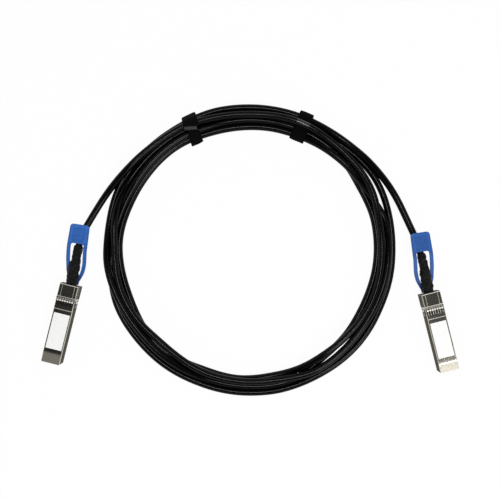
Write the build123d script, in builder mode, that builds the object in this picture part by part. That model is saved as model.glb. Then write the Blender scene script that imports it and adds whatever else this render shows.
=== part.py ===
"""Direct attach copper cable: a coiled twinaxial lead with a latching plug at each end.

Each plug is drawn once in its own frame: x across it, y = 0 at the rear face where the cable comes out,
the nose towards -y, z = 0 on the table. The coil and its ties are drawn flat about the coil's own axis.
All of them are then placed in the shared frame, whose origin is on the table, midway between the plugs.
"""

import os
from math import atan, cos, degrees, hypot, radians, sin, tan

from build123d import *

os.makedirs("parts", exist_ok=True)

# Housing: the outside follows the small form factor pluggable envelope
body_length = 56.5
body_width = 13.4
body_height = 8.5
side_wall = 1.1
lid_wall = 1.6
floor_wall = 1.9
rear_wall = 2.0
edge_bevel = 0.4
nose_corner = 0.8
rear_length = 9.0
rear_flange = 0.25
mouth_length = 10.4
deck_start = 18.1
deck_step = 0.2
nose_length = 6.8
nose_step = 0.2
nose_drop = 0.5
rib_height = 0.25
rib_width = 0.9

# Recessed panel with a thin raised rim, on top of the rear block
panel_width = 8.4
panel_length = 7.6
panel_margin = 0.85
panel_depth = 0.5
panel_corner = 1.0
rim_width = 0.35
rim_height = 0.15

# Label and the shallow pocket it is stuck in
label_width = 11.4
label_start = 20.9
label_margin = 3.4
label_thickness = 0.1
label_gap = 0.08
pocket_depth = 0.12

# Latch boss under the housing
boss_height = 0.45
boss_width = 2.6
boss_length = 2.6
boss_shoulder = 11.5
boss_tip_radius = 0.4
boss_ramp = 1.1

# Release slide, its channel and its return spring
slide_travel = 2.5
arm_width = 1.5
arm_thickness = 0.6
arm_reach = 16.2
arm_gap = 0.15
arm_clearance = 0.1
lug_width = 0.5
lug_thickness = 0.25
lug_length = 8.0
channel_end = 0.3
bridge_length = 0.8
wedge_length = 1.8
wedge_crest_start = 0.8
wedge_crest_end = 1.1
wedge_proud = 0.4
tang_width = 0.8
tang_thickness = 0.4
tang_length = 2.4
spring_diameter = 1.2
spring_wire = 0.24
spring_turns = 4
spring_stop = 1.2
spring_stop_start = 2.4

# Pull tab
tab_thickness = 1.2
tab_gap = 0.4
tab_length = 43.0
pad_length = 13.5
pad_width = 13.3
pad_corner = 2.3
window_corner = 1.5
leg_spread = 14.2
leg_width = 2.45
leg_foot_outer = 3.9
leg_foot_width = 2.0
leg_foot_length = 2.7
leg_knee = 9.0
leg_knee_outer = 6.15
leg_bow = 18.5
leg_bow_rise = 0.27
pad_flare = 0.1
tab_rise_start = 4.5
tab_rise_end = 25.5
tab_bend = 14.0
pad_lift = 7.45
pad_inset = 2.0
pad_inset_depth = 0.25
tab_lean = 5.5
tab_pivot = 13.0

# Spring collar that grounds the housing in its cage
collar_thickness = 0.15
collar_start = 9.25
collar_band = 1.3
collar_foot = 0.9
seat_depth = 0.2
seat_gap = 0.1
finger_reach = 4.6
finger_heel = 0.35
finger_crest = 0.45
finger_crest_start = 0.6
finger_crest_end = 1.5
finger_tip_lift = 0.08
top_fingers = 7
side_fingers = 3
finger_pitch = 1.72
finger_width = 1.3

# Card, contacts, memory chip and shell screws
card_thickness = 1.0
card_height = 2.25
card_setback = 3.2
card_edge_width = 9.2
card_edge_length = 13.0
card_gap = 1.5
card_slack = 0.1
card_bevel = 0.25
contact_count = 10
contact_pitch = 0.8
contact_width = 0.5
contact_length = 2.6
contact_thickness = 0.05
contact_setback = 0.5
chip_width = 3.0
chip_length = 4.0
chip_height = 0.8
chip_setback = 9.7
chip_across = -2.0
chip_lift = 0.1
lead_width = 0.35
lead_thickness = 0.15
lead_pitch = 0.95
lead_span = 0.7
lead_shoulder = 0.28
screw_across = 4.55
screw_station = 18.6
screw_radius = 0.6
screw_head_radius = 1.2
screw_head_height = 0.6
screw_length = 5.0
screw_slack = 0.12
screw_socket = 0.6
screw_socket_depth = 0.35
post_width = 2.4

# Cable, ferrule and strain relief
cable_diameter = 4.8
cable_slack = 0.05
ferrule_bore = 2.0
ferrule_wall = 0.6
ferrule_neck = 3.0
ferrule_flange = 5.6
ferrule_flange_length = 0.9
ferrule_slack = 0.05
wire_radius = 0.5
wire_spacing = 1.25
wire_fan_start = 5.0
wire_bend = 2.0
wire_pitch = 1.7
wire_lap = 2.5
relief_length = 28.0
relief_width = 7.7
relief_height = 6.0
relief_shoulder = 16.0
relief_shoulder_length = 1.4
relief_neck_width = 6.1
relief_neck_height = 5.7
relief_gap = 0.05

# Coil and its two straps
coil_x = 0.4
coil_y = 33.2
coil_outer = 103.9
coil_width = 17.2
coil_height = 9.4
coil_corner = 2.4
tie_thickness = 1.1
tie_gap = 0.12
tie_length = 10.0
tie_angles = {"left_tie": 115.0, "right_tie": 67.8}
tie_waist = 5.6
tie_waist_length = 4.5
flap_start = 1.8
flap_overhang = 1.6
flap_thickness = 1.0

# Where the plugs lie: half the distance between their rear faces, how much nearer the top of the coil
# the left one is, and how far each nose turns outwards
plug_spread = 126.4
plug_stagger = 5.6
plug_turn = 14.0

# Heights and widths that several pieces share
underside = boss_height
top = underside + body_height
middle = underside + body_height / 2
ceiling = top - lid_wall
floor_top = underside + floor_wall
cavity_width = body_width - 2 * side_wall
mouth_start = body_length - mouth_length
deck = top - deck_step
label_length = body_length - nose_length - label_margin - label_start
card_bottom = underside + card_height
card_top = card_bottom + card_thickness
card_front = body_length - card_setback
card_rear = screw_station + post_width / 2 + card_gap
card_length = card_front - card_rear
chip_station = card_rear + chip_setback
arm_inner = boss_width / 2 + arm_gap
arm_outer = arm_inner + arm_width
arm_bottom = underside + arm_clearance
arm_top = arm_bottom + arm_thickness
channel_depth = arm_clearance + arm_thickness + arm_clearance
channel_half = arm_outer + arm_gap
channel_length = arm_reach + channel_end
land_start = boss_shoulder - arm_gap
bridge_station = land_start - arm_gap - bridge_length
lug_middle = (arm_bottom + arm_top) / 2
spring_radius = spring_diameter / 2
spring_z = arm_bottom + spring_radius
spring_foot = spring_stop_start + spring_stop
spring_length = bridge_station - spring_foot
pocket_half = spring_radius + arm_gap
collar_width = body_width - 2 * seat_depth
collar_top = top - seat_depth
seat_start = collar_start - seat_gap
seat_length = collar_band + 2 * seat_gap
ferrule_neck_radius = ferrule_bore + ferrule_wall
post_inner = screw_across - post_width / 2


def at_station(distance):
    """The plane across a plug at this distance from its rear face; extruding from it goes to the nose."""
    return Plane.XZ.offset(distance)


def block(x_low, x_high, z_low, z_high):
    """One rectangle of a cross-section, given by its sides."""
    with Locations(((x_low + x_high) / 2, (z_low + z_high) / 2)):
        Rectangle(x_high - x_low, z_high - z_low)


def bevelled(width, height, bevel, mode=Mode.ADD):
    """A rectangle with its corners cut off, for the bundle of cable and the straps round it."""
    side_x, side_z = width / 2, height / 2
    with BuildSketch(mode=Mode.PRIVATE) as outline:
        with BuildLine():
            Polyline(
                (side_x, side_z - bevel),
                (side_x - bevel, side_z),
                (-side_x + bevel, side_z),
                (-side_x, side_z - bevel),
                (-side_x, -side_z + bevel),
                (-side_x + bevel, -side_z),
                (side_x - bevel, -side_z),
                (side_x, -side_z + bevel),
                close=True,
            )
        make_face()
    add(outline.sketch, mode=mode)


def collar_seat():
    """Cross-section of the shallow groove that the spring collar lies in, over the top and both sides."""
    block(-body_width, body_width, underside + collar_foot - seat_gap, top + body_height)
    with Locations((0, collar_top - body_height)):
        Rectangle(collar_width, 2 * body_height, mode=Mode.SUBTRACT)


with BuildPart() as top_shell:
    # Lid with the upper half of the side walls; its top steps down to the label deck and slopes at the nose
    with BuildSketch(Plane.YZ):
        with BuildLine():
            Polyline(
                (0, middle),
                (0, top),
                (-deck_start, top),
                (-deck_start - deck_step, deck),
                (-(body_length - nose_length), deck),
                (-(body_length - nose_length + nose_step), deck - nose_step),
                (-body_length, deck - nose_step - nose_drop),
                (-body_length, middle),
                close=True,
            )
        make_face()
    extrude(amount=body_width / 2, both=True)
    long_edges = top_shell.edges().filter_by(
        lambda e: abs(abs(e.center().X) - body_width / 2) < 0.01 and e.center().Z > ceiling - nose_drop
    )
    chamfer(long_edges.filter_by(lambda e: abs(e.tangent_at(0.5).Z) < 0.9), length=edge_bevel)
    # Side walls reach down to the underside along the open mouth
    with BuildSketch(at_station(mouth_start)):
        block(-body_width / 2, body_width / 2, underside, middle)
    extrude(amount=mouth_length)
    nose_edges = top_shell.edges().filter_by(Axis.Z).filter_by(
        lambda e: abs(e.center().Y + body_length) < 0.01 and abs(e.center().X) > cavity_width / 2
    )
    fillet(nose_edges, radius=nose_corner)
    with BuildSketch(at_station(rear_wall)):
        block(-cavity_width / 2, cavity_width / 2, underside - body_height, ceiling)
    extrude(amount=body_length, mode=Mode.SUBTRACT)
    # Raised rim and recessed panel on the rear block
    panel_middle = -(panel_margin + panel_length / 2)
    with BuildSketch(Plane.XY.offset(top)):
        with Locations((0, panel_middle)):
            RectangleRounded(
                panel_width + 2 * rim_width, panel_length + 2 * rim_width, panel_corner + rim_width
            )
    extrude(amount=rim_height)
    with BuildSketch(Plane.XY.offset(top + rim_height)):
        with Locations((0, panel_middle)):
            RectangleRounded(panel_width, panel_length, panel_corner)
    extrude(amount=-(rim_height + panel_depth), mode=Mode.SUBTRACT)
    # Seat of the spring collar
    with BuildSketch(at_station(seat_start)):
        collar_seat()
    extrude(amount=seat_length, mode=Mode.SUBTRACT)
    # Pocket of the label
    with BuildSketch(Plane.XY.offset(deck)):
        with Locations((0, -(label_start + label_length / 2))):
            Rectangle(label_width + 2 * label_gap, label_length + 2 * label_gap)
    extrude(amount=-pocket_depth, mode=Mode.SUBTRACT)
    # Grip ribs along both sides of the rear block
    with BuildSketch(at_station(0)):
        for side in (-1, 1):
            with Locations((side * body_width / 2, (middle + top) / 2 - rib_width / 2)):
                Rectangle(2 * rib_height, rib_width)
    extrude(amount=rear_length)
    # Half of the cable hole, with the groove for the ferrule's flange
    with BuildSketch(at_station(0)):
        with Locations((0, middle)):
            Circle(ferrule_neck_radius + ferrule_slack)
    extrude(amount=rear_wall, mode=Mode.SUBTRACT)
    with BuildSketch(at_station(rear_wall)):
        with Locations((0, middle)):
            Rectangle(ferrule_flange + 2 * ferrule_slack, ferrule_flange + 2 * ferrule_slack)
    extrude(amount=ferrule_flange_length + 2 * ferrule_slack, mode=Mode.SUBTRACT)
    # Posts that the shell screws bite into
    with BuildSketch(at_station(screw_station - post_width / 2)):
        for side in (-1, 1):
            block(*sorted((side * post_inner, side * cavity_width / 2)), middle, ceiling)
    extrude(amount=post_width)
    with Locations(
        Plane((-screw_across, -screw_station, middle), z_dir=(0, 0, -1)),
        Plane((screw_across, -screw_station, middle), z_dir=(0, 0, -1)),
    ):
        Hole(screw_radius + cable_slack, depth=screw_length - (middle - underside) + screw_slack)

with BuildPart() as bottom_shell:
    # Tray with the lower half of the side walls, wider where it stays outside the cage
    with BuildSketch(at_station(0)):
        block(-body_width / 2, body_width / 2, underside, middle)
    extrude(amount=mouth_start)
    with BuildSketch(at_station(0)):
        block(-body_width / 2 - rear_flange, body_width / 2 + rear_flange, underside, middle)
    extrude(amount=rear_length)
    with BuildSketch(at_station(rear_wall)):
        block(-cavity_width / 2, cavity_width / 2, floor_top, middle)
    extrude(amount=body_length, mode=Mode.SUBTRACT)
    # Ledges under the card
    with BuildSketch(at_station(card_rear)):
        block(-cavity_width / 2, -card_edge_width / 2, floor_top, card_bottom)
        block(card_edge_width / 2, cavity_width / 2, floor_top, card_bottom)
    extrude(amount=mouth_start - card_rear)
    # Posts around the shell screws
    with BuildSketch(at_station(screw_station - post_width / 2)):
        for side in (-1, 1):
            block(*sorted((side * post_inner, side * cavity_width / 2)), floor_top, middle)
    extrude(amount=post_width)
    with Locations(
        Plane((-screw_across, -screw_station, underside), z_dir=(0, 0, -1)),
        Plane((screw_across, -screw_station, underside), z_dir=(0, 0, -1)),
    ):
        Hole(screw_radius + screw_slack, depth=body_height)
        Hole(screw_head_radius + screw_slack, depth=screw_head_height + screw_slack)
    # Seat of the spring collar
    with BuildSketch(at_station(seat_start)):
        collar_seat()
    extrude(amount=seat_length, mode=Mode.SUBTRACT)
    # Channel of the release slide, with a groove along each side for the slide's lugs
    with BuildSketch(at_station(0)):
        block(-channel_half, channel_half, underside - boss_height, underside + channel_depth)
        lug_half = arm_outer + lug_width + arm_gap
        block(
            -lug_half,
            lug_half,
            lug_middle - lug_thickness / 2 - arm_clearance,
            lug_middle + lug_thickness / 2 + arm_clearance,
        )
    extrude(amount=channel_length, mode=Mode.SUBTRACT)
    with BuildSketch(at_station(spring_foot)):
        block(-pocket_half, pocket_half, underside - boss_height, spring_z + spring_radius + arm_clearance)
    extrude(amount=land_start - spring_foot, mode=Mode.SUBTRACT)
    with BuildSketch(at_station(spring_stop_start)):
        block(-boss_width / 2, boss_width / 2, underside, underside + channel_depth)
    extrude(amount=spring_stop)
    with BuildSketch(at_station(land_start)):
        block(-boss_width / 2, boss_width / 2, underside, underside + channel_depth)
    extrude(amount=channel_length - land_start)
    # Half of the cable hole, with the groove for the ferrule's flange
    with BuildSketch(at_station(0)):
        with Locations((0, middle)):
            Circle(ferrule_neck_radius + ferrule_slack)
    extrude(amount=rear_wall, mode=Mode.SUBTRACT)
    with BuildSketch(at_station(rear_wall)):
        with Locations((0, middle)):
            Rectangle(ferrule_flange + 2 * ferrule_slack, ferrule_flange + 2 * ferrule_slack)
    extrude(amount=ferrule_flange_length + 2 * ferrule_slack, mode=Mode.SUBTRACT)

# Latch boss: a ramp from the nose side up to a square shoulder, three-cornered in plan
with BuildPart() as latch_boss:
    with BuildSketch(Plane.XY):
        with BuildLine():
            Polyline(
                (-boss_width / 2, -boss_shoulder),
                (boss_width / 2, -boss_shoulder),
                (0, -(boss_shoulder + boss_length)),
                close=True,
            )
        make_face()
    extrude(amount=underside)
    tip = latch_boss.edges().filter_by(Axis.Z).sort_by(Axis.Y)[0]
    fillet(tip, radius=boss_tip_radius)
    with BuildSketch(Plane.YZ):
        with BuildLine():
            Polyline(
                (-boss_shoulder, 0),
                (-(boss_shoulder + boss_length - boss_ramp), 0),
                (-(boss_shoulder + boss_length), underside),
                (-boss_shoulder, underside),
                close=True,
            )
        make_face()
    extrude(amount=boss_width, both=True, mode=Mode.INTERSECT)

with BuildPart(mode=Mode.PRIVATE) as bottom_shell_with_boss:
    add(bottom_shell.part)
    add(latch_boss.part)

with BuildPart() as emi_spring:
    # Band clipped over the top and both sides
    with BuildSketch(at_station(collar_start)):
        block(
            -collar_width / 2 - collar_thickness,
            collar_width / 2 + collar_thickness,
            underside + collar_foot,
            collar_top + collar_thickness,
        )
        block(-collar_width / 2, collar_width / 2, underside - body_height, collar_top)
        with Locations((0, collar_top - body_height)):
            Rectangle(collar_width, 2 * body_height, mode=Mode.SUBTRACT)
    extrude(amount=collar_band)
    # One row of sprung fingers along the top and one down each side
    finger_root = -(collar_start + collar_band)
    low = collar_thickness / 2
    finger_rows = [
        (Plane((0, 0, collar_top), x_dir=(0, 1, 0), z_dir=(1, 0, 0)), top_fingers),
        (Plane((collar_width / 2, 0, middle), x_dir=(0, 1, 0), z_dir=(0, 0, -1)), side_fingers),
        (Plane((-collar_width / 2, 0, middle), x_dir=(0, 1, 0), z_dir=(0, 0, 1)), side_fingers),
    ]
    for row, count in finger_rows:
        for index in range(count):
            along = (index - (count - 1) / 2) * finger_pitch - finger_width / 2
            with BuildSketch(row.offset(along)):
                with BuildLine():
                    Polyline(
                        (finger_root + finger_heel, low),
                        (finger_root - finger_crest_start, seat_depth + finger_crest),
                        (finger_root - finger_crest_end, seat_depth + finger_crest),
                        (finger_root - finger_reach, seat_depth + low + finger_tip_lift),
                    )
                trace(line_width=collar_thickness)
            extrude(amount=finger_width)

with BuildPart() as paddle_card:
    with BuildSketch(Plane.XY.offset(card_bottom)):
        wide = cavity_width - 2 * card_slack
        with Locations((0, -(card_rear + (card_length - card_edge_length) / 2))):
            Rectangle(wide, card_length - card_edge_length)
        with Locations((0, -(card_front - card_edge_length / 2))):
            Rectangle(card_edge_width, card_edge_length)
    extrude(amount=card_thickness)
    leading = paddle_card.edges().filter_by(Axis.X).group_by(Axis.Y)[0]
    chamfer(leading, length=card_bevel)

with BuildPart() as contact_pads:
    contact_middle = -(card_front - contact_setback - contact_length / 2)
    for height, way in ((card_top, 1), (card_bottom, -1)):
        with BuildSketch(Plane.XY.offset(height)):
            with Locations((0, contact_middle)):
                with GridLocations(contact_pitch, contact_pitch, contact_count, 1):
                    Rectangle(contact_width, contact_length)
        extrude(amount=way * contact_thickness)

with BuildPart() as memory_chip:
    with BuildSketch(Plane.XY.offset(card_top + chip_lift)):
        with Locations((chip_across, -chip_station)):
            Rectangle(chip_width, chip_length)
    extrude(amount=chip_height)
    for index in range(4):
        lead_y = -chip_station + (index - 1.5) * lead_pitch + lead_width / 2
        with BuildSketch(Plane.XZ.offset(-lead_y)):
            for side in (-1, 1):
                root = chip_across + side * chip_width / 2
                shoulder = root + side * lead_shoulder
                foot = root + side * lead_span
                mid = card_top + chip_lift + chip_height / 2
                with BuildLine():
                    Polyline(
                        (root, mid),
                        (shoulder + side * lead_thickness, mid),
                        (shoulder + side * lead_thickness, card_top + lead_thickness),
                        (foot, card_top + lead_thickness),
                        (foot, card_top),
                        (shoulder, card_top),
                        (shoulder, mid - lead_thickness),
                        (root, mid - lead_thickness),
                        close=True,
                    )
                make_face()
        extrude(amount=lead_width)

with BuildPart() as wire_pairs:
    # Four insulated conductors fan out from the ferrule and lie on the back of the card
    spread = wire_spacing / 2
    ends = [
        (-spread, middle - spread, -1.5 * wire_pitch),
        (-spread, middle + spread, -0.5 * wire_pitch),
        (spread, middle + spread, 0.5 * wire_pitch),
        (spread, middle - spread, 1.5 * wire_pitch),
    ]
    rest = card_top + wire_radius
    for start_x, start_z, end_x in ends:
        with BuildLine() as wire_line:
            FilletPolyline(
                (start_x, -rear_wall / 2, start_z),
                (start_x, -wire_fan_start, start_z),
                (end_x, -(card_rear - wire_lap), rest),
                (end_x, -(card_rear + wire_lap), rest),
                radius=wire_bend,
            )
        with BuildSketch(Plane((start_x, -rear_wall / 2, start_z), z_dir=(0, -1, 0))):
            RegularPolygon(wire_radius, 6)
        sweep(path=wire_line.wires()[0])

with BuildPart() as crimp_ferrule:
    # Neck crimped to six sides, and the square flange that the shells trap
    with BuildSketch(at_station(-ferrule_neck)):
        with Locations((0, middle)):
            RegularPolygon(ferrule_neck_radius, 6)
    extrude(amount=ferrule_neck + rear_wall + ferrule_slack)
    with BuildSketch(at_station(rear_wall + ferrule_slack)):
        with Locations((0, middle)):
            Rectangle(ferrule_flange, ferrule_flange)
    extrude(amount=ferrule_flange_length)
    with BuildSketch(at_station(-ferrule_neck)):
        with Locations((0, middle)):
            Circle(ferrule_bore)
    extrude(amount=ferrule_neck + rear_wall + ferrule_slack + ferrule_flange_length, mode=Mode.SUBTRACT)

with BuildPart() as strain_relief:
    # Shrunk sleeve in two stages, wide at the housing and narrow at the cable
    neck_start = relief_shoulder + relief_shoulder_length
    with BuildSketch(at_station(-relief_gap)):
        with Locations((0, middle)):
            SlotOverall(relief_width, relief_height)
    extrude(amount=-(relief_shoulder - relief_gap))
    with BuildSketch(at_station(-neck_start)):
        with Locations((0, middle)):
            SlotOverall(relief_neck_width, relief_neck_height)
    extrude(amount=-(relief_length - neck_start))
    with BuildSketch(at_station(-relief_shoulder)):
        with Locations((0, middle)):
            SlotOverall(relief_width, relief_height)
    with BuildSketch(at_station(-neck_start)):
        with Locations((0, middle)):
            SlotOverall(relief_neck_width, relief_neck_height)
    loft()
    with BuildSketch(at_station(0)):
        with Locations((0, middle)):
            Circle(cable_diameter / 2 + cable_slack)
    extrude(amount=-relief_length, mode=Mode.SUBTRACT)
    with BuildSketch(at_station(0)):
        with Locations((0, middle)):
            Circle(ferrule_neck_radius + ferrule_slack)
    extrude(amount=-(ferrule_neck + ferrule_slack), mode=Mode.SUBTRACT)

with BuildPart() as latch_slide:
    for side in (-1, 1):
        low_x, high_x = sorted((side * arm_inner, side * arm_outer))
        with BuildSketch(at_station(-tab_gap + arm_clearance)):
            block(low_x, high_x, arm_bottom, arm_top)
        extrude(amount=arm_reach + tab_gap - arm_clearance)
        # Lug that keeps the arm in its groove
        low_x, high_x = sorted((side * arm_outer, side * (arm_outer + lug_width)))
        with BuildSketch(at_station(slide_travel)):
            block(low_x, high_x, lug_middle - lug_thickness / 2, lug_middle + lug_thickness / 2)
        extrude(amount=lug_length)
        # Wedge that lifts the cage's tongue off the boss
        with BuildSketch(Plane.YZ.offset(side * arm_inner)):
            with BuildLine():
                Polyline(
                    (-arm_reach, arm_bottom),
                    (-arm_reach + wedge_crest_start, underside - wedge_proud),
                    (-arm_reach + wedge_crest_end, underside - wedge_proud),
                    (-arm_reach + wedge_length, arm_bottom),
                    close=True,
                )
            make_face()
        extrude(amount=side * arm_width)
        # Tang held inside the leg of the pull tab
        tang_inner = arm_outer - tang_width
        low_x, high_x = sorted((side * tang_inner, side * arm_outer))
        with BuildSketch(at_station(-tab_gap + arm_clearance)):
            block(low_x, high_x, lug_middle - tang_thickness / 2, lug_middle + tang_thickness / 2)
        extrude(amount=-(tang_length + arm_clearance))
    # Bridge that the return spring pushes on
    with BuildSketch(at_station(bridge_station)):
        block(-arm_inner, arm_inner, arm_bottom, arm_top)
        block(-spring_radius, spring_radius, arm_bottom, spring_z + spring_radius)
    extrude(amount=bridge_length)

with BuildPart() as return_spring:
    coil_radius = spring_radius - spring_wire / 2
    winding = spring_length - spring_wire - 2 * arm_clearance
    start = Vector(0, -(spring_foot + arm_clearance + spring_wire / 2), spring_z)
    with BuildLine() as spring_line:
        Helix(
            pitch=winding / spring_turns,
            height=winding,
            radius=coil_radius,
            center=start,
            direction=(0, -1, 0),
        )
    spring_edge = spring_line.edges()[0]
    with BuildSketch(Plane(spring_edge @ 0, z_dir=spring_edge % 0)):
        RegularPolygon(spring_wire / 2, 4)
    sweep(path=spring_edge, is_frenet=True)

def leaned(x, y, lean):
    """Where a point of the pull tab's plan lies once the tab leans beyond its knees, as its cable bends."""
    share = min(max((y - leg_knee) / (leg_bow - leg_knee), 0), 1)
    turn = radians(lean * share)
    reach = y - tab_pivot
    return x * cos(turn) + reach * sin(turn), tab_pivot + reach * cos(turn) - x * sin(turn)


def corners_at(vertices, places):
    """The corners of a plan that lie at these places."""
    return vertices.filter_by(lambda v: any(hypot(v.X - x, v.Y - y) < 0.01 for x, y in places))


def make_pull_tab(lean):
    """Pull tab with its two legs, leaning by this angle to one side."""
    with BuildPart() as pull_tab:
        # Side view: flat feet, a rise over the strain relief, then the flat pad
        foot_middle = underside + tab_thickness / 2
        pad_middle = pad_lift + tab_thickness / 2
        with BuildSketch(Plane.YZ):
            with BuildLine():
                FilletPolyline(
                    (tab_gap, foot_middle),
                    (tab_rise_start, foot_middle),
                    (tab_rise_end, pad_middle),
                    (tab_length + leg_width, pad_middle),
                    radius=tab_bend,
                )
            trace(line_width=tab_thickness)
        extrude(amount=pad_width, both=True)
        # Plan: two feet, legs that bow outwards, and the pad
        window_end = tab_length - pad_length
        foot_inner = leg_foot_outer - leg_foot_width
        leg_outer = leg_spread / 2
        leg_inner = leg_outer - leg_width
        bow_middle = (leg_knee + leg_bow) / 2
        with BuildSketch(Plane.XY) as tab_plan:
            for hand in (1, -1):
                with BuildLine():
                    Polyline(
                        (hand * (leg_knee_outer - leg_width), leg_knee),
                        (hand * foot_inner, leg_foot_length),
                        (hand * foot_inner, tab_gap),
                        (hand * leg_foot_outer, tab_gap),
                        (hand * leg_foot_outer, leg_foot_length),
                        (hand * leg_knee_outer, leg_knee),
                    )
                    ThreePointArc(
                        (hand * leg_knee_outer, leg_knee),
                        leaned(hand * (leg_outer - leg_bow_rise), bow_middle, lean),
                        leaned(hand * leg_outer, leg_bow, lean),
                    )
                    Polyline(
                        leaned(hand * leg_outer, leg_bow, lean),
                        leaned(hand * (leg_outer - pad_flare), window_end, lean),
                        leaned(hand * pad_width / 2, tab_length, lean),
                        leaned(0, tab_length, lean),
                        leaned(0, window_end, lean),
                        leaned(hand * leg_inner, window_end, lean),
                        leaned(hand * leg_inner, leg_bow, lean),
                    )
                    ThreePointArc(
                        leaned(hand * leg_inner, leg_bow, lean),
                        leaned(hand * (leg_inner - leg_bow_rise), bow_middle, lean),
                        (hand * (leg_knee_outer - leg_width), leg_knee),
                    )
                make_face()
            pad_corners = [leaned(hand * pad_width / 2, tab_length, lean) for hand in (1, -1)]
            fillet(corners_at(tab_plan.vertices(), pad_corners), radius=pad_corner)
            window_corners = [leaned(hand * leg_inner, window_end, lean) for hand in (1, -1)]
            fillet(corners_at(tab_plan.vertices(), window_corners), radius=window_corner)
        extrude(amount=pad_lift + 2 * tab_thickness, mode=Mode.INTERSECT)
        # Shallow inset in the pad, for the thumb
        with BuildSketch(Plane.XY.offset(pad_lift + tab_thickness)):
            with Locations(Location(leaned(0, window_end + pad_length / 2, lean), -lean)):
                Rectangle(pad_width - 2 * pad_inset, pad_length - 2 * pad_inset)
        extrude(amount=-pad_inset_depth, mode=Mode.SUBTRACT)
        # Sockets for the slide's tangs
        for side in (-1, 1):
            low_x, high_x = sorted(
                (side * (arm_outer - tang_width - cable_slack), side * (arm_outer + cable_slack))
            )
            with BuildSketch(at_station(0)):
                block(
                    low_x,
                    high_x,
                    lug_middle - tang_thickness / 2 - cable_slack,
                    lug_middle + tang_thickness / 2 + cable_slack,
                )
            extrude(amount=-(tab_gap + tang_length + cable_slack), mode=Mode.SUBTRACT)
    return pull_tab.part


pull_tabs = {"left": make_pull_tab(-tab_lean), "right": make_pull_tab(tab_lean)}

with BuildPart() as label:
    with BuildSketch(Plane.XY.offset(deck - pocket_depth)):
        with Locations((0, -(label_start + label_length / 2))):
            Rectangle(label_width, label_length)
    extrude(amount=label_thickness)

with BuildPart() as shell_screws:
    for side in (-1, 1):
        with BuildSketch(Plane.XY.offset(underside + screw_slack / 2)):
            with Locations((side * screw_across, -screw_station)):
                Circle(screw_head_radius)
        extrude(amount=screw_head_height)
        with BuildSketch(Plane.XY.offset(underside + screw_slack / 2)):
            with Locations((side * screw_across, -screw_station)):
                Circle(screw_radius)
        extrude(amount=screw_length)
        with BuildSketch(Plane.XY.offset(underside + screw_slack / 2)):
            with Locations((side * screw_across, -screw_station)):
                RegularPolygon(screw_socket, 6)
        extrude(amount=screw_socket_depth, mode=Mode.SUBTRACT)

plug_pieces = {
    "top_shell": top_shell.part,
    "bottom_shell": bottom_shell_with_boss.part,
    "emi_spring": emi_spring.part,
    "paddle_card": paddle_card.part,
    "contact_pads": contact_pads.part,
    "memory_chip": memory_chip.part,
    "wire_pairs": wire_pairs.part,
    "crimp_ferrule": crimp_ferrule.part,
    "strain_relief": strain_relief.part,
    "latch_slide": latch_slide.part,
    "return_spring": return_spring.part,
    "label": label.part,
    "shell_screws": shell_screws.part,
}

# The plugs' boxes, turned as they lie, put the origin midway between their outer ends
plug_turns = {"left": -plug_turn, "right": plug_turn}
turned = {}
for side, turn in plug_turns.items():
    outline = [top_shell.part, bottom_shell.part, pull_tabs[side]]
    turned[side] = Compound([Rot(0, 0, turn) * piece for piece in outline])
highest = turned["left"].bounding_box().max.Y + plug_stagger / 2
lowest = turned["right"].bounding_box().min.Y - plug_stagger / 2
plug_y = -(highest + lowest) / 2
plug_places = {
    "left": Pos(-plug_spread, plug_y + plug_stagger / 2, 0) * Rot(0, 0, -plug_turn),
    "right": Pos(plug_spread, plug_y - plug_stagger / 2, 0) * Rot(0, 0, plug_turn),
}
for side, place in plug_places.items():
    for name, piece in {**plug_pieces, "pull_tab": pull_tabs[side]}.items():
        placed = place * piece
        placed.label = f"{side}_{name}"
        export_step(placed, f"parts/{side}_{name}.step")

# Coil of cable, with its axis at the drawing's origin and its underside at z = 0
coil_inner = coil_outer - coil_width
coil_radius_mean = (coil_outer + coil_inner) / 2
with BuildPart() as cable_coil:
    with BuildSketch(Plane.XZ):
        with Locations((coil_radius_mean, coil_height / 2)):
            bevelled(coil_width, coil_height, coil_corner)
    revolve(axis=Axis.Z)

# Straps round the coil: a closed loop with a pinched waist on top, and its free end lapped over it
strap_reach = tie_gap + tie_thickness
bevel_share = tan(radians(22.5))
bow = coil_inner - (coil_inner**2 - (tie_length / 2) ** 2) ** 0.5
strap_bevel = coil_corner + strap_reach * bevel_share
ties = {}
for tie_name, tie_angle in tie_angles.items():
    out = Vector(cos(radians(tie_angle)), sin(radians(tie_angle)), 0)
    along = Vector(-out.Y, out.X, 0)
    with BuildPart() as strap:
        across = Plane(along * (tie_length / 2), x_dir=out, z_dir=-along)
        with BuildSketch(across):
            with Locations((coil_radius_mean - bow / 2, coil_height / 2)):
                bevelled(coil_width + bow + 2 * strap_reach, coil_height + 2 * strap_reach, strap_bevel)
                bevelled(
                    coil_width + bow + 2 * tie_gap,
                    coil_height + 2 * tie_gap,
                    coil_corner + tie_gap * bevel_share,
                    mode=Mode.SUBTRACT,
                )
        extrude(amount=tie_length)
        # Free end lapped over the outer half
        strap_top = coil_height + strap_reach
        with BuildSketch(across):
            block(
                coil_radius_mean + flap_start,
                coil_outer - coil_corner + flap_overhang,
                strap_top - tie_thickness / 2,
                strap_top + flap_thickness,
            )
        extrude(amount=tie_length)
        # Waist pinched in from both sides on top
        with BuildSketch(Plane((0, 0, coil_height), x_dir=out, z_dir=(0, 0, 1))):
            for side in (-1, 1):
                with BuildLine():
                    Polyline(
                        (coil_radius_mean - tie_waist_length / 2, side * tie_length),
                        (coil_radius_mean - tie_waist_length / 2, side * tie_length / 2),
                        (coil_radius_mean, side * tie_waist / 2),
                        (coil_radius_mean + tie_waist_length / 2, side * tie_length / 2),
                        (coil_radius_mean + tie_waist_length / 2, side * tie_length),
                        close=True,
                    )
                make_face()
        extrude(amount=coil_height, mode=Mode.SUBTRACT)
    ties[tie_name] = strap.part

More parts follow.
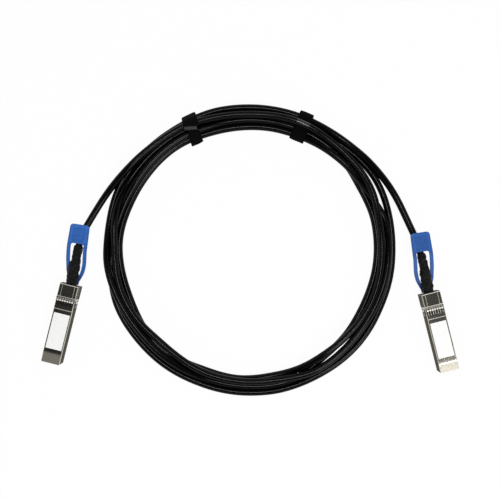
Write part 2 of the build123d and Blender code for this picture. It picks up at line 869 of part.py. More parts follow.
# The straps lift one side of the coil; the other side rests on the table
coil_foot = coil_outer - coil_corner
steepest = radians(max(abs(angle - 90) for angle in tie_angles.values()))
strap_low_y = coil_inner * cos(steepest) - tie_length / 2 * sin(steepest)
coil_tilt = atan(strap_reach / (coil_foot + strap_low_y))
coil_place = Pos(coil_x, coil_y, coil_foot * sin(coil_tilt)) * Rot(degrees(coil_tilt), 0, 0)
for name, piece in {"cable_coil": cable_coil.part, **ties}.items():
    placed = coil_place * piece
    placed.label = name
    export_step(placed, f"parts/{name}.step")

# The cable between each plug and the coil: chosen points, lying on the table and rising onto the coil
tail_start = ferrule_neck + ferrule_slack
tail_ends = {
    "left": [(coil_x - 98.7, coil_y + 52.2, 2.6), (coil_x - 71.9, coil_y + 73.0, 3.7)],
    "right": [(coil_x + 101.6, coil_y + 43.2, 2.6), (coil_x + 75.1, coil_y + 69.8, 3.7)],
}
tail_sides = 12
straight_length = 42.0
bend_share = 0.45
for side, place in plug_places.items():
    straight = [(place * Pos(0, along, middle)).position for along in (tail_start, straight_length)]
    points = straight + [Vector(*point) for point in tail_ends[side]]
    runs = [after - before for before, after in zip(points, points[1:])]
    radii = []
    for before, after in zip(runs, runs[1:]):
        turn = radians(before.get_angle(after))
        radii.append(bend_share * min(before.length, after.length) / tan(turn / 2))
    with BuildPart() as tail:
        with BuildLine() as route:
            FilletPolyline(*points, radius=radii)
        with BuildSketch(Plane(points[0], z_dir=runs[0])):
            outline = RegularPolygon(cable_diameter / 2, tail_sides)
        sweep(path=route.wires()[0])
    tail.part.label = f"{side}_tail"
    export_step(tail.part, f"parts/{side}_tail.step")
    length = route.wires()[0].length
    share = tail.part.volume / (length * outline.area)
    print(side, "tail points", [tuple(round(v, 2) for v in point) for point in points])
    print(side, "tail runs", [round(run.length, 1) for run in runs], "radii", [round(r, 1) for r in radii])
    print(side, "tail length", round(length, 1), "volume share", round(share, 4))
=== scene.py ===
from math import cos, hypot, pi, radians, sin
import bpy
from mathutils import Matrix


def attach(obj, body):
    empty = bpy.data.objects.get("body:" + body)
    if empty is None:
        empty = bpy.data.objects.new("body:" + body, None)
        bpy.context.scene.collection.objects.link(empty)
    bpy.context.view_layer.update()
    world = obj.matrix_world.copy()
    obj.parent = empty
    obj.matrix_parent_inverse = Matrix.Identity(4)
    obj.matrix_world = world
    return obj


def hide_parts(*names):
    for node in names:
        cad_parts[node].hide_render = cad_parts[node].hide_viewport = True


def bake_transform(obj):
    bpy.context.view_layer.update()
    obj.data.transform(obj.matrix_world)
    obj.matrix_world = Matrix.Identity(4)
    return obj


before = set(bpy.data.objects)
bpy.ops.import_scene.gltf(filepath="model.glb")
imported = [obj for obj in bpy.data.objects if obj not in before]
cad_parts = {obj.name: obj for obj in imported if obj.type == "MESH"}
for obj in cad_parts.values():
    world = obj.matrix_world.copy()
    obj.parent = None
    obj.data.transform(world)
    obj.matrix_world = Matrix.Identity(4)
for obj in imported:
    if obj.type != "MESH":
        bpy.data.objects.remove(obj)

from types import SimpleNamespace

import bmesh
import bpy
from mathutils import Vector, noise

# The frame is in metres. Figures in millimetres are multiplied by MM where they meet it.
MM = 0.001
UP = Vector((0, 0, 1))
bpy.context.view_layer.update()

# The cable, in metres. Its skin is made of flat facets, and is drawn wider by this factor to make up for the corners
# that they cut off.
CABLE_DIAMETER = 4.8 * MM
CABLE_RADIUS = CABLE_DIAMETER / 2
CABLE_FACETS = 1.015

# The middle of the coil in mm, how far the coil is lifted off the floor there, and its gentle rise away from the
# plugs.
COIL_CENTRE = (0.4, 33.2)
COIL_LIFT = 0.70
COIL_SLOPE = 0.00686

# Each turn of the coil, clockwise: degrees around it, and the radius and height of the cable's middle in mm.
TURNS = (
    # On top, over the right strap, then inwards and down to the innermost place
    ((120, 99.4, 7.4), (110, 97.2, 7.4), (100, 96.1, 7.3), (88, 95.5, 7.2), (78, 96.1, 7.6), (68, 96.2, 8.6),
     (58, 95.4, 7.6), (48, 94.8, 7.4), (40, 94.8, 7.6), (32, 95.1, 8.2), (26, 94.7, 9.0), (20, 93.1, 8.8),
     (14, 92.3, 8.0), (8, 92.1, 7.4), (0, 92.0, 7.2), (-10, 92.1, 7.0), (-20, 92.3, 6.9), (-28, 91.8, 6.8),
     (-36, 90.8, 7.0), (-44, 89.7, 7.2), (-52, 89.3, 7.0), (-57, 89.0, 6.6), (-62, 89.4, 5.6),
     (-67, 90.1, 4.2), (-72, 90.0, 3.0), (-78, 89.7, 2.4), (-84, 90.0, 2.4), (-90, 90.6, 2.4),
     (-96, 91.0, 2.4), (-104, 90.6, 2.4), (-112, 90.3, 2.4), (-117, 90.7, 2.4), (-122, 92.2, 2.4),
     (-128, 93.4, 2.4), (-135, 94.0, 2.4), (-142, 93.6, 2.4), (-149, 92.6, 2.4), (-156, 91.8, 2.4),
     (-163, 91.7, 2.4), (-171, 92.3, 2.4), (-180, 93.1, 2.4)),
    # Innermost at the straps, over its neighbour, then outwards under the top turn
    ((172, 93.2, 2.4), (165, 92.2, 2.4), (158, 91.4, 2.4), (150, 91.0, 2.4), (140, 90.8, 2.4),
     (130, 90.8, 2.4), (122, 90.3, 2.4), (117, 89.5, 2.4), (112, 88.6, 2.4), (105, 88.1, 2.4),
     (97, 87.9, 2.4), (88, 88.0, 2.4), (78, 88.2, 2.4), (70, 88.2, 2.4), (65, 88.3, 3.2), (60, 88.4, 5.2),
     (55, 88.7, 6.2), (50, 89.0, 6.9), (44, 89.6, 7.2), (38, 90.4, 7.0), (32, 91.2, 6.2), (28, 92.0, 5.0),
     (24, 93.2, 3.6), (20, 95.2, 2.6), (16, 97.0, 2.6), (11, 97.7, 3.4), (5, 97.5, 4.8), (-3, 97.0, 6.0),
     (-12, 96.4, 6.8), (-22, 95.7, 7.0), (-34, 95.1, 7.2), (-40, 95.0, 7.0), (-46, 95.3, 6.8),
     (-52, 95.5, 6.8), (-57, 95.7, 7.0), (-62, 95.7, 7.2), (-67, 94.9, 7.2), (-72, 93.3, 7.2),
     (-77, 92.4, 7.2), (-84, 92.0, 7.2), (-92, 91.8, 7.0), (-102, 91.6, 6.8), (-112, 91.3, 6.8),
     (-120, 90.5, 6.9), (-128, 89.8, 7.0), (-136, 89.9, 7.0), (-142, 91.2, 7.0), (-148, 92.9, 6.8),
     (-155, 94.3, 6.6), (-161, 95.1, 6.6), (-168, 95.5, 6.6), (-174, 95.4, 6.6), (-180, 95.1, 6.7)),
    # Over to the outside, and outermost on the right and below
    ((174, 96.0, 7.2), (168, 97.5, 7.2), (162, 98.8, 6.0), (156, 99.1, 3.8), (150, 98.9, 2.6),
     (140, 98.3, 2.4), (130, 97.6, 2.4), (120, 97.0, 2.4), (110, 97.0, 2.4), (100, 96.9, 2.4),
     (88, 96.9, 2.4), (78, 96.9, 2.4), (68, 96.9, 2.4), (61, 96.9, 2.4), (56, 97.3, 2.4), (50, 98.4, 2.4),
     (43, 99.9, 2.4), (36, 101.4, 2.4), (30, 102.2, 2.4), (24, 102.1, 2.4), (18, 101.5, 2.4),
     (12, 101.0, 2.4), (4, 100.5, 2.4), (-4, 100.3, 2.4), (-12, 100.5, 2.4), (-22, 100.0, 2.4),
     (-30, 100.5, 2.4), (-38, 100.8, 2.4), (-46, 100.8, 2.4), (-55, 100.4, 2.4), (-62, 100.2, 2.4),
     (-69, 100.2, 2.4), (-75, 100.6, 2.4), (-82, 100.6, 2.4), (-92, 100.3, 2.4), (-100, 100.6, 2.4),
     (-108, 100.2, 2.4), (-117, 100.6, 2.4), (-130, 101.3, 2.4), (-140, 101.4, 2.4), (-147, 101.8, 2.4),
     (-154, 102.3, 2.4), (-161, 102.1, 2.4), (-166, 101.2, 2.4), (-171, 99.9, 2.4), (-176, 98.8, 2.4),
     (-180, 98.2, 2.4)),
    # Innermost on the right, then climbing over the outermost turn on the left
    ((174, 97.2, 2.4), (168, 96.2, 2.6), (162, 95.4, 3.6), (156, 94.4, 5.2), (150, 93.8, 5.9),
     (140, 93.4, 6.2), (130, 93.2, 6.1), (122, 93.0, 5.8), (116, 92.6, 5.4), (110, 92.4, 4.8),
     (104, 92.4, 3.8), (96, 92.5, 3.3), (88, 92.4, 3.2), (78, 92.5, 2.8), (68, 92.5, 2.4), (60, 92.2, 2.4),
     (54, 92.2, 2.4), (48, 91.8, 2.4), (42, 91.5, 2.4), (36, 90.2, 2.4), (30, 89.4, 2.4), (24, 89.7, 2.4),
     (18, 90.3, 2.4), (12, 90.1, 2.4), (4, 89.8, 2.4), (-4, 89.6, 2.4), (-12, 89.2, 2.4), (-20, 88.7, 2.4),
     (-28, 88.8, 2.4), (-36, 89.4, 2.4), (-44, 90.4, 2.4), (-52, 90.6, 2.4), (-57, 91.5, 2.4),
     (-62, 92.8, 2.4), (-67, 94.9, 2.4), (-72, 96.4, 2.4), (-77, 96.6, 2.4), (-84, 96.3, 2.4),
     (-92, 96.0, 2.4), (-100, 96.0, 2.4), (-110, 96.0, 2.8), (-118, 96.0, 4.4), (-126, 96.0, 5.9),
     (-134, 96.2, 6.6), (-142, 96.3, 7.0), (-148, 96.9, 7.2), (-155, 97.8, 7.2), (-161, 98.9, 7.2),
     (-167, 100.1, 7.2), (-172, 101.0, 7.0), (-176, 101.5, 6.0), (-180, 101.6, 5.0)),
    # Outermost from the left on
    ((174, 101.4, 3.6), (168, 101.9, 2.8), (162, 102.6, 2.4), (157, 103.5, 2.4), (150, 103.4, 2.4),
     (142, 102.7, 2.4), (132, 101.8, 2.4), (120, 101.3, 2.4), (112, 101.8, 2.4), (104, 102.0, 2.6),
     (96, 101.5, 2.8), (88, 101.2, 3.0), (78, 101.2, 2.8), (68, 101.3, 2.5), (60, 100.8, 4.6),
     (54, 100.9, 5.6)),
)
# Degrees between the curve's points, and how much nearer the coil's middle it runs than they lie.
COIL_STEP = 8
CURVE_SHARE = 0.9976

# The cable from each plug to the coil, in mm.
LEFT_TAIL = (
    (-125.66, 12.42, 4.7), (-121.6, 40.0, 4.7), (-110.9, 59.0, 3.6), (-100.5, 75.0, 4.4), (-88.5, 88.3, 8.1),
    (-73.0, 103.6, 8.5),
)
RIGHT_TAIL = (
    (69.6, 108.1, 7.2), (85.7, 95.1, 5.4), (101.9, 75.4, 3.2), (112.9, 51.0, 4.5), (120.6, 34.5, 4.7),
    (125.66, 6.82, 4.7),
)

# Each plug's rear face in mm, and how far its nose turns outwards.
PLUG_REAR = {"left": (-126.4, 9.46), "right": (126.4, 3.86)}
PLUG_TURN = {"left": radians(-14), "right": radians(14)}

# Where the housing's coat is rubbed pale and has painted edge highlights, in mm across the plug or from its rear
# face,
# below 0 towards the nose: its long edges, the rear block with the sides of its panel, the steps across the top, and
# the mouth. The last is where the nose starts.
LONG_EDGE = 6.6
BLOCK_FRONT = -9.0
PANEL_SIDE = 4.4
TOP_STEPS = (-8.95, -17.9)
MOUTH = -0.25
NOSE_START = -49.9

# The sprung fingers' spacing, and the place of their crests from the rear face, in mm.
FINGER_PITCH = 1.72
FINGER_CREST = -11.6

# The pull tab, in degrees and mm: how it leans and about which place, its outline, and the frame on its pad with the
# place where the pad starts. Its blue is darkened on the right as painted shade.
TAB_LEAN = {"left": -5.5, "right": 5.5}
TAB_PIVOT = 13.0
TAB_SIDE, TAB_END = 7.0, 43.2
FRAME_SIDE, FRAME_END = 4.9, 41.0
PAD_START = 31.0
TAB_SHADE_SHARE = {"left": 1.0, "right": 0.8}

# The shrunk sleeve behind each plug, in mm: distance from the rear face, half width, half height, sideways shift.
RELIEF_STAGES = (
    (-0.6, 3.55, 2.95, 0.0), (1.5, 3.75, 3.0, -0.1), (5.0, 3.95, 3.0, 0.1), (9.0, 3.8, 2.95, -0.15),
    (12.5, 4.0, 3.05, 0.1), (15.6, 3.75, 3.0, 0.05), (17.2, 3.2, 2.9, 0.25), (20.5, 3.05, 2.85, 0.15),
    (24.0, 3.12, 2.85, 0.1), (27.2, 2.95, 2.8, 0.15), (28.0, 2.55, 2.5, 0.15),
)
RELIEF_RINGS = 96
RELIEF_SIDES = 40
# The sleeve follows the cable from this far behind the rear face. Nearer to it, the sleeve runs straight.
FOLLOW_START = 3.2
# Lumps in the sleeve: how close they lie around it and along it, how deep the coarse and fine ones are as shares of
# its radius, how much closer the fine ones lie, and where each side starts in their pattern.
LUMP_AROUND, LUMP_ALONG = 1.3, 0.42
LUMP_DEPTH, FINE_LUMP_DEPTH = 0.17, 0.09
FINE_LUMPS = 2.7
LUMP_SEED = {"left": 40, "right": 0}

# The straps, in degrees around the coil and mm: the turns that lie on top, the widths, the slack on the inside, the
# skew across the bundle, and the distance from the coil's middle at which the lapped end starts.
STRAPS = {
    "left_tie": SimpleNamespace(
        angle=115.5, on_top=0, outer_width=10.8, inner_width=8.8, waist_width=6.6,
        slack=1.5, skew=2.6, lap_start=94.8,
    ),
    "right_tie": SimpleNamespace(
        angle=67.6, on_top=1, outer_width=10.4, inner_width=10.6, waist_width=9.6,
        slack=0.4, skew=0.0, lap_start=98.9,
    ),
}
STRAP_THICKNESS = 1.1
STRAP_GAP = 0.15
STRAP_WAIST_RADIUS = 93.6
STRAP_COLUMNS = 11
STRAP_ROWS = 120
# The slack fades out between these distances from the coil's middle. A strap goes from its inner to its outer width
# across its waist, and is pinched within this reach of it, between these heights and above.
SLACK_RADII = (85.0, 89.0)
WIDENING_RADII = (STRAP_WAIST_RADIUS - 0.6, STRAP_WAIST_RADIUS + 1.6)
PINCH_REACH = (0.5, 2.2)
PINCH_HEIGHTS = (4.0, 7.0)
# The skew is reached over this much of the bundle. The edges are thinner by a share, and the outside ripples.
SKEW_SPAN = 20
EDGE_THINNING = 0.35
RIPPLE = 0.14
# The weave's spacings, and the line in which a painted highlight crosses the left strap's waist aslant.
RIB_SPACING, THREAD_SPACING = 0.95, 0.7
PAINTED_HIGHLIGHT_RADIUS, PAINTED_HIGHLIGHT_SLANT = 94.6, 0.35
# The top turn is drawn over the right strap, and is slick there at this radius and from this height.
SLICK_RADIUS, SLICK_HEIGHT = 96.4, 11.0
LAP_END_HEIGHT = 3.2
LAP_THICKNESS = 0.9
# A lap is narrower than its strap, and its edge wavers.
LAP_INSET = 0.7
LAP_WAVER = 0.25
# Points around one turn of cable, for the outline of the bundle.
TURN_SIDES = 48

# The camera looks straight down on the coil: its place and nearest sight in metres, and its lens.
CAMERA_PLACE = (0.0, 0.0339, 0.405)
CAMERA_CLIP = 0.01
CAMERA_LENS = 40.8

# The floor's half side in metres, and the share of its own even white in what is seen of it. The sky darkens between
# these heights of a direction, from the first level to the second.
FLOOR_REACH = 6.0
FLOOR_GLOW = 0.96
SKY_HEIGHTS = (0.60, 0.86)
SKY_LEVELS = (0.95, 0.012)


def between(low, high, share):
    return low + (high - low) * share


def smooth(value, low, high):
    """Goes smoothly from 0 to 1 as the value goes from low to high."""
    share = min(max((value - low) / (high - low), 0.0), 1.0)
    return share * share * (3 - 2 * share)


class Signal:
    """A shader value that varies over a surface. Python's operators add its Math nodes."""

    def __init__(self, look, socket):
        self.look = look
        self.socket = socket

    def math(self, operation, *values):
        return self.look.node("ShaderNodeMath", {"operation": operation}, dict(enumerate(values)))

    def __add__(self, other):
        return self.math("ADD", self, other)

    def __radd__(self, other):
        return self.math("ADD", other, self)

    def __sub__(self, other):
        return self.math("SUBTRACT", self, other)

    def __rsub__(self, other):
        return self.math("SUBTRACT", other, self)

    def __mul__(self, other):
        return self.math("MULTIPLY", self, other)

    def __rmul__(self, other):
        return self.math("MULTIPLY", other, self)

    def __abs__(self):
        return self.math("ABSOLUTE", self)

    def most(self, other):
        return self.math("MAXIMUM", self, other)

    def sine(self):
        return self.math("SINE", self)

    def in_mm(self):
        return self * (1 / MM)

    def rises(self, low, high, bottom=0.0, top=1.0):
        """Goes smoothly from bottom to top as this value goes from low to high."""
        return self.look.node(
            "ShaderNodeMapRange",
            {"interpolation_type": "SMOOTHSTEP"},
            {"Value": self, "From Min": low, "From Max": high, "To Min": bottom, "To Max": top},
        )

    def near(self, line, core, edge):
        """1 within core of a line, fading to 0 at edge."""
        return abs(self - line).rises(core, edge, 1.0, 0.0)

    def along(self, direction):
        """How far this place lies in a direction."""
        return self.look.vector_math("DOT_PRODUCT", self, direction, output="Value")


class Nodes:
    """A node tree, and the one way to add a node to it."""

    def __init__(self, tree):
        self.tree = tree

    def node(self, kind, settings=None, inputs=None, output=0):
        made = self.tree.nodes.new(kind)
        for setting, value in (settings or {}).items():
            setattr(made, setting, value)
        for socket, value in (inputs or {}).items():
            self.feed(made.inputs[socket], value)
        return Signal(self, made.outputs[output])

    def vector_math(self, operation, *values, output=0):
        return self.node("ShaderNodeVectorMath", {"operation": operation}, dict(enumerate(values)), output)

    def feed(self, socket, value):
        if isinstance(value, Signal):
            self.tree.links.new(value.socket, socket)
        else:
            socket.default_value = value


class Look(Nodes):
    """A finish: its material and shader, with what is the same all over it set on the shader."""

    def __init__(self, name, **uniform):
        self.material = bpy.data.materials.new(name)
        self.material.use_nodes = True
        super().__init__(self.material.node_tree)
        self.shader = self.tree.nodes["Principled BSDF"]
        for socket, value in uniform.items():
            self.shader.inputs[socket.replace("_", " ").title().replace("Ior", "IOR")].default_value = value

    def place(self):
        return self.node("ShaderNodeTexCoord", output="Object")

    def places(self, origin, directions):
        """How far a place lies from an origin in each of those directions, all in mm."""
        offset = self.vector_math("SUBTRACT", self.place(), Vector((*origin, 0)) * MM)
        return [offset.along(direction).in_mm() for direction in directions]

    def facing(self, direction):
        return self.node("ShaderNodeNewGeometry", output="Normal").along(direction)

    def grain(self, size, detail=4.0, roughness=0.6, stretch=(1, 1, 1)):
        """Cloudy variation from 0 to 1, with lumps of that size in mm."""
        place = self.vector_math("MULTIPLY", self.place(), stretch)
        inputs = {"Vector": place, "Scale": 1 / (size * MM), "Detail": detail, "Roughness": roughness}
        return self.node("ShaderNodeTexNoise", None, inputs, "Fac")

    def mix(self, share, low, high):
        """A colour between low and high."""
        low, high = ((*c, 1.0) if isinstance(c, tuple) else c for c in (low, high))
        return self.node("ShaderNodeMix", {"data_type": "RGBA"}, {0: share, 6: low, 7: high}, 2)

    def colour(self, colour):
        self.feed(self.shader.inputs["Base Color"], colour)

    def metal(self, metallic):
        self.feed(self.shader.inputs["Metallic"], metallic)

    def polish(self, roughness):
        self.feed(self.shader.inputs["Roughness"], roughness)

    def relief(self, height, depth):
        """Dents the surface by a height of 0 to 1, depth in mm."""
        bump = self.node("ShaderNodeBump", None, {"Strength": 1.0, "Distance": depth * MM, "Height": height})
        self.feed(self.shader.inputs["Normal"], bump)


def axes_at(turn):
    """The flat direction at a turn in radians, and the one square to its left."""
    return Vector((cos(turn), sin(turn), 0)), Vector((-sin(turn), cos(turn), 0))


def plug_axes(side):
    """The directions across a plug and along it towards the cable."""
    return axes_at(PLUG_TURN[side])


def plug_places(look, side):
    """A place on a plug in mm: across it, and from its rear face towards the cable."""
    return look.places(PLUG_REAR[side], plug_axes(side))


def strap_axes(tie):
    """The directions outwards from the coil's middle through a strap, and sideways across that strap."""
    return axes_at(radians(tie.angle))


def strap_places(look, tie):
    """A place by a strap in mm: outwards from the coil's middle, sideways from the strap's middle, and up."""
    return look.places(COIL_CENTRE, (*strap_axes(tie), UP))


def nickel(side):
    """Cast housing with a thin nickel coat: mirror-like on top, matt and darkened by painted shade on its sides,
    rubbed pale with painted highlights along its edges, and toned per side on its nose as painted light and shade.
    """
    look = Look(side + "_nickel", specular_tint=(0.42, 0.41, 0.38, 1.0))
    across, along = plug_places(look, side)
    upward = look.facing(UP)
    top = upward.rises(0.75, 0.95)
    fine = look.grain(0.5)
    cloud = look.grain(6.0)
    rim = abs(across).rises(LONG_EDGE - 0.25, LONG_EDGE)
    on_block = along.rises(BLOCK_FRONT - 0.2, BLOCK_FRONT + 0.2)
    panel = abs(across).near(PANEL_SIDE, 0.1, 0.24) * on_block
    steps = along.near(TOP_STEPS[0], 0.14, 0.32).most(along.near(TOP_STEPS[1], 0.1, 0.26))
    mouth = along.near(MOUTH, 0.2, 0.4)
    # Pale lines along the edges, panel sides, steps and mouth: rubbed coat together with painted edge highlights
    rub_and_edge_highlight = (rim * (0.2 + 0.2 * on_block)).most(panel * 0.6).most(steps * 0.8).most(mouth * 0.9) * top
    nose = along.rises(NOSE_START, NOSE_START - 1.0) * top
    shade = along.rises(NOSE_START + 1.9, NOSE_START - 0.3) * top
    plain = look.mix(cloud.rises(0.3, 0.7), (0.50, 0.48, 0.41), (0.62, 0.60, 0.52))
    # Painted shade: the sides get a far darker colour than the top
    sides = look.mix(fine.rises(0.3, 0.7), (0.085, 0.08, 0.07), (0.155, 0.147, 0.13))
    coat = look.mix(upward.rises(0.2, 0.7), sides, plain)
    # Painted light and shade: the nose's tone is set lighter on the left plug and darker on the right
    coat = look.mix(nose, coat, (0.40, 0.375, 0.32) if side == "left" else (0.25, 0.235, 0.20))
    look.colour(look.mix(rub_and_edge_highlight, coat, (0.80, 0.78, 0.70)))
    look.metal(1 - 0.45 * rub_and_edge_highlight - 0.12 * shade)
    look.polish(0.14 + 0.06 * fine + 0.12 * nose + 0.08 * shade + 0.2 * rub_and_edge_highlight + 0.2 * (1 - top))
    look.relief(fine + 2.0 * look.grain(2.5, detail=1.0), 0.012)
    return look.material


def spring_steel(side):
    """Sprung fingers, with painted highlights on their crests and painted shade down their slopes and in the slots
    between them.
    """
    look = Look(side + "_spring_steel")
    across, along = plug_places(look, side)
    row = (across * (2 * pi / FINGER_PITCH) + pi / 2).sine()
    # Painted shade in the slots between the fingers
    slot = row.rises(-0.35, -0.85)
    # Painted highlight on the crests
    crest_highlight = along.near(FINGER_CREST, 0.35, 0.7) * (1 - slot)
    spine = row.rises(0.8, 0.98) * along.rises(FINGER_CREST - 0.7, FINGER_CREST - 1.4)
    # Painted shade down the slopes, weaker along each finger's spine
    slope_shade = along.rises(FINGER_CREST + 1.1, FINGER_CREST + 0.8) * (1 - 0.5 * spine)
    body = look.mix(look.grain(1.5).rises(0.3, 0.7), (0.42, 0.40, 0.35), (0.56, 0.54, 0.48))
    body = look.mix(slope_shade, body, (0.022, 0.021, 0.019))
    body = look.mix(slot * 0.85, body, (0.03, 0.03, 0.027))
    look.colour(look.mix(crest_highlight, body, (0.90, 0.87, 0.78)))
    look.metal(1 - 0.5 * crest_highlight)
    look.polish(0.26 + 0.1 * look.grain(0.4) + 0.12 * crest_highlight)
    return look.material


def coil_steel(side):
    """Bright drawn wire of the return spring."""
    look = Look(side + "_coil_steel", metallic=1.0)
    look.colour(look.mix(look.grain(0.5).rises(0.3, 0.7), (0.55, 0.54, 0.52), (0.78, 0.77, 0.74)))
    look.polish(0.22 + 0.1 * look.grain(0.3))
    return look.material


def pull_blue(side):
    """Moulded blue tab: darker along its outline, with a faint frame inside the pad, painted shade at its foot by
    the housing, and its blue darkened on the right plug as painted shade.
    """
    look = Look(side + "_pull_blue", specular_ior_level=0.25)
    across, along = plug_places(look, side)
    lean = radians(TAB_LEAN[side])
    reach = along - TAB_PIVOT
    across = across * cos(lean) - reach * sin(lean)
    along = reach * cos(lean) + across * sin(lean) + TAB_PIVOT
    # The right tab's blues are darkened by a share: painted shade
    pale, deep, line = (
        tuple(part * TAB_SHADE_SHARE[side] for part in blue)
        for blue in ((0.027, 0.122, 0.43), (0.018, 0.100, 0.38), (0.040, 0.17, 0.56))
    )
    body = look.mix(look.grain(3.0).rises(0.3, 0.7), deep, pale)
    on_pad = along.rises(PAD_START - 1.5, PAD_START)
    frame_line = abs(across).near(FRAME_SIDE, 0.35, 0.8).most(along.near(FRAME_END, 0.35, 0.8))
    body = look.mix(frame_line * on_pad * 0.6, body, line)
    edge = abs(across).rises(TAB_SIDE - 1, TAB_SIDE).most(along.rises(TAB_END - 1, TAB_END))
    body = look.mix(edge * 0.55, body, (0.016, 0.07, 0.30))
    # Painted shade towards the tab's foot by the housing
    foot_shade = along.rises(9.5, 3.5)
    look.colour(look.mix(foot_shade * 0.75, body, (0.012, 0.03, 0.14)))
    look.polish(0.42 + 0.15 * look.grain(0.8))
    look.relief(look.grain(0.35), 0.015)
    return look.material


def label_white(side):
    """Bare white label, with a faint paper grain."""
    look = Look(side + "_label_white", ior=1.45)
    look.colour(look.mix(look.grain(2.0).rises(0.3, 0.7), (0.90, 0.90, 0.89), (0.94, 0.94, 0.93)))
    look.polish(0.42 + 0.1 * look.grain(0.3))
    look.relief(look.grain(0.25), 0.006)
    return look.material


def black_sleeve(side):
    """Heat-shrunk black sleeve, wrinkled where it drew in."""
    look = Look(side + "_relief_black", specular_ior_level=0.12)
    look.colour(look.mix(look.grain(2.0).rises(0.35, 0.7), (0.002, 0.002, 0.0022), (0.008, 0.008, 0.009)))
    look.polish(0.34 + 0.2 * look.grain(1.0))
    look.relief(look.grain(1.8, detail=3.0), 1.4)
    return look.material


def circuit_green(side):
    """Green circuit card, with tracks under its lacquer."""
    look = Look(side + "_circuit_board", ior=1.5)
    tracks = look.grain(0.9, detail=1.0, stretch=(1, 0.25, 1)).rises(0.48, 0.52)
    look.colour(look.mix(tracks, (0.010, 0.075, 0.030), (0.018, 0.13, 0.05)))
    look.polish(0.35 + 0.1 * tracks)
    return look.material


def contact_gold(side):
    """Gold plating on the card's contacts."""
    look = Look(side + "_gold_contacts", metallic=1.0)
    look.colour(look.mix(look.grain(0.8), (0.78, 0.50, 0.17), (0.95, 0.68, 0.30)))
    look.polish(0.2 + 0.1 * look.grain(0.3))
    return look.material


def chip_black(side):
    """Matt black moulding of the chip."""
    look = Look(side + "_chip_black")
    look.colour(look.mix(look.grain(0.3), (0.012, 0.012, 0.013), (0.028, 0.028, 0.030)))
    look.polish(0.5 + 0.15 * look.grain(0.2))
    return look.material


def wire_insulation(side):
    """Pale insulation on the conductors."""
    look = Look(side + "_wire_insulation", ior=1.4)
    look.colour(look.mix(look.grain(1.2), (0.55, 0.60, 0.66), (0.74, 0.77, 0.80)))
    look.polish(0.35 + 0.1 * look.grain(0.6))
    return look.material


def ferrule_brass(side):
    """Plain brass of the crimped ferrule."""
    look = Look(side + "_ferrule_brass", metallic=1.0)
    look.colour(look.mix(look.grain(1.0), (0.62, 0.42, 0.16), (0.80, 0.60, 0.28)))
    look.polish(0.28 + 0.14 * look.grain(0.5))
    return look.material


def latch_steel(side):
    """Steel of the release slide, brushed along its length."""
    look = Look(side + "_latch_steel", metallic=1.0)
    brushed = look.grain(0.35, detail=2.0, stretch=(1, 0.08, 1))
    look.colour(look.mix(brushed, (0.42, 0.41, 0.39), (0.62, 0.61, 0.58)))
    look.polish(0.26 + 0.16 * brushed)
    return look.material


def screw_steel(side):
    """Dark steel of the screws."""
    look = Look(side + "_screw_steel", metallic=1.0)
    look.colour(look.mix(look.grain(0.5), (0.22, 0.22, 0.22), (0.40, 0.40, 0.39)))
    look.polish(0.3 + 0.14 * look.grain(0.3))
    return look.material


def jacket_black():
    """Satin black cable jacket, faintly pebbled."""
    look = Look("cable_jacket_black", specular_ior_level=0.1, coat_roughness=0.28)
    cloud = look.grain(9.0, detail=3.0).rises(0.35, 0.7)
    look.colour(look.mix(cloud, (0.0008, 0.0008, 0.001), (0.002, 0.002, 0.0024)))
    look.polish(0.12 + 0.09 * look.grain(5.0))
    look.relief(look.grain(0.6) + 3.0 * look.grain(7.0, detail=1.0), 0.018)
    # Slick where the top turn is drawn over the right strap
    tie = STRAPS["right_tie"]
    reach, aside, height = strap_places(look, tie)
    edge = tie.outer_width / 2
    slick = abs(aside).rises(edge - 0.8, edge, 1.0, 0.0) * height.rises(SLICK_HEIGHT - 0.6, SLICK_HEIGHT)
    look.feed(look.shader.inputs["Coat Weight"], slick * reach.near(SLICK_RADIUS, 1.2, 2.0))
    return look.material


def strap_weave(name):
    """Dark grey woven strap: ribs along it, crossed by finer threads, and a fuzzy nap."""
    tie = STRAPS[name]
    look = Look(name + "_strap_grey", specular_ior_level=0.04)
    outward, sideways = strap_axes(tie)
    place = look.place()
    ribs = (place.along(sideways) * (2 * pi / (RIB_SPACING * MM))).sine()
    threads = ((place.along(outward) + place.along(UP)) * (2 * pi / (THREAD_SPACING * MM))).sine()
    weave = 0.5 + 0.5 * ribs * threads
    nap = look.grain(0.5)
    tone = 0.55 * weave + 0.45 * nap
    fibre = look.mix(tone.rises(0.2, 0.85), (0.0008, 0.0008, 0.0008), (0.005, 0.005, 0.005))
    if name == "left_tie":
        # A painted highlight crosses its waist aslant
        reach, aside, height = strap_places(look, tie)
        painted_waist_highlight = (reach - PAINTED_HIGHLIGHT_SLANT * aside).near(PAINTED_HIGHLIGHT_RADIUS, 0.6, 1.4) * height.rises(8.0, 9.0)
        fibre = look.mix(painted_waist_highlight * nap.rises(0.3, 0.6, 0.5, 1.0), fibre, (0.07, 0.07, 0.072))
    look.colour(fibre)
    look.polish(0.75 + 0.15 * nap)
    look.relief(weave + nap, 0.22)
    return look.material


FINISHES = {
    "top_shell": nickel, "bottom_shell": nickel, "emi_spring": spring_steel, "paddle_card": circuit_green,
    "contact_pads": contact_gold, "memory_chip": chip_black, "wire_pairs": wire_insulation,
    "crimp_ferrule": ferrule_brass, "latch_slide": latch_steel, "return_spring": coil_steel,
    "pull_tab": pull_blue, "label": label_white, "shell_screws": screw_steel, "strain_relief": black_sleeve,
}


def finish_plugs():
    """Gives every plug part from the frame its finish. Returns each side's sleeve finish, for the drawn sleeves."""
    sleeves = {}
    for side in PLUG_REAR:
        made = {finish: finish(side) for finish in dict.fromkeys(FINISHES.values())}
        for part, finish in FINISHES.items():
            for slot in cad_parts[f"{side}_{part}"].material_slots:
                slot.material = made[finish]
        sleeves[side] = made[black_sleeve]
    return sleeves


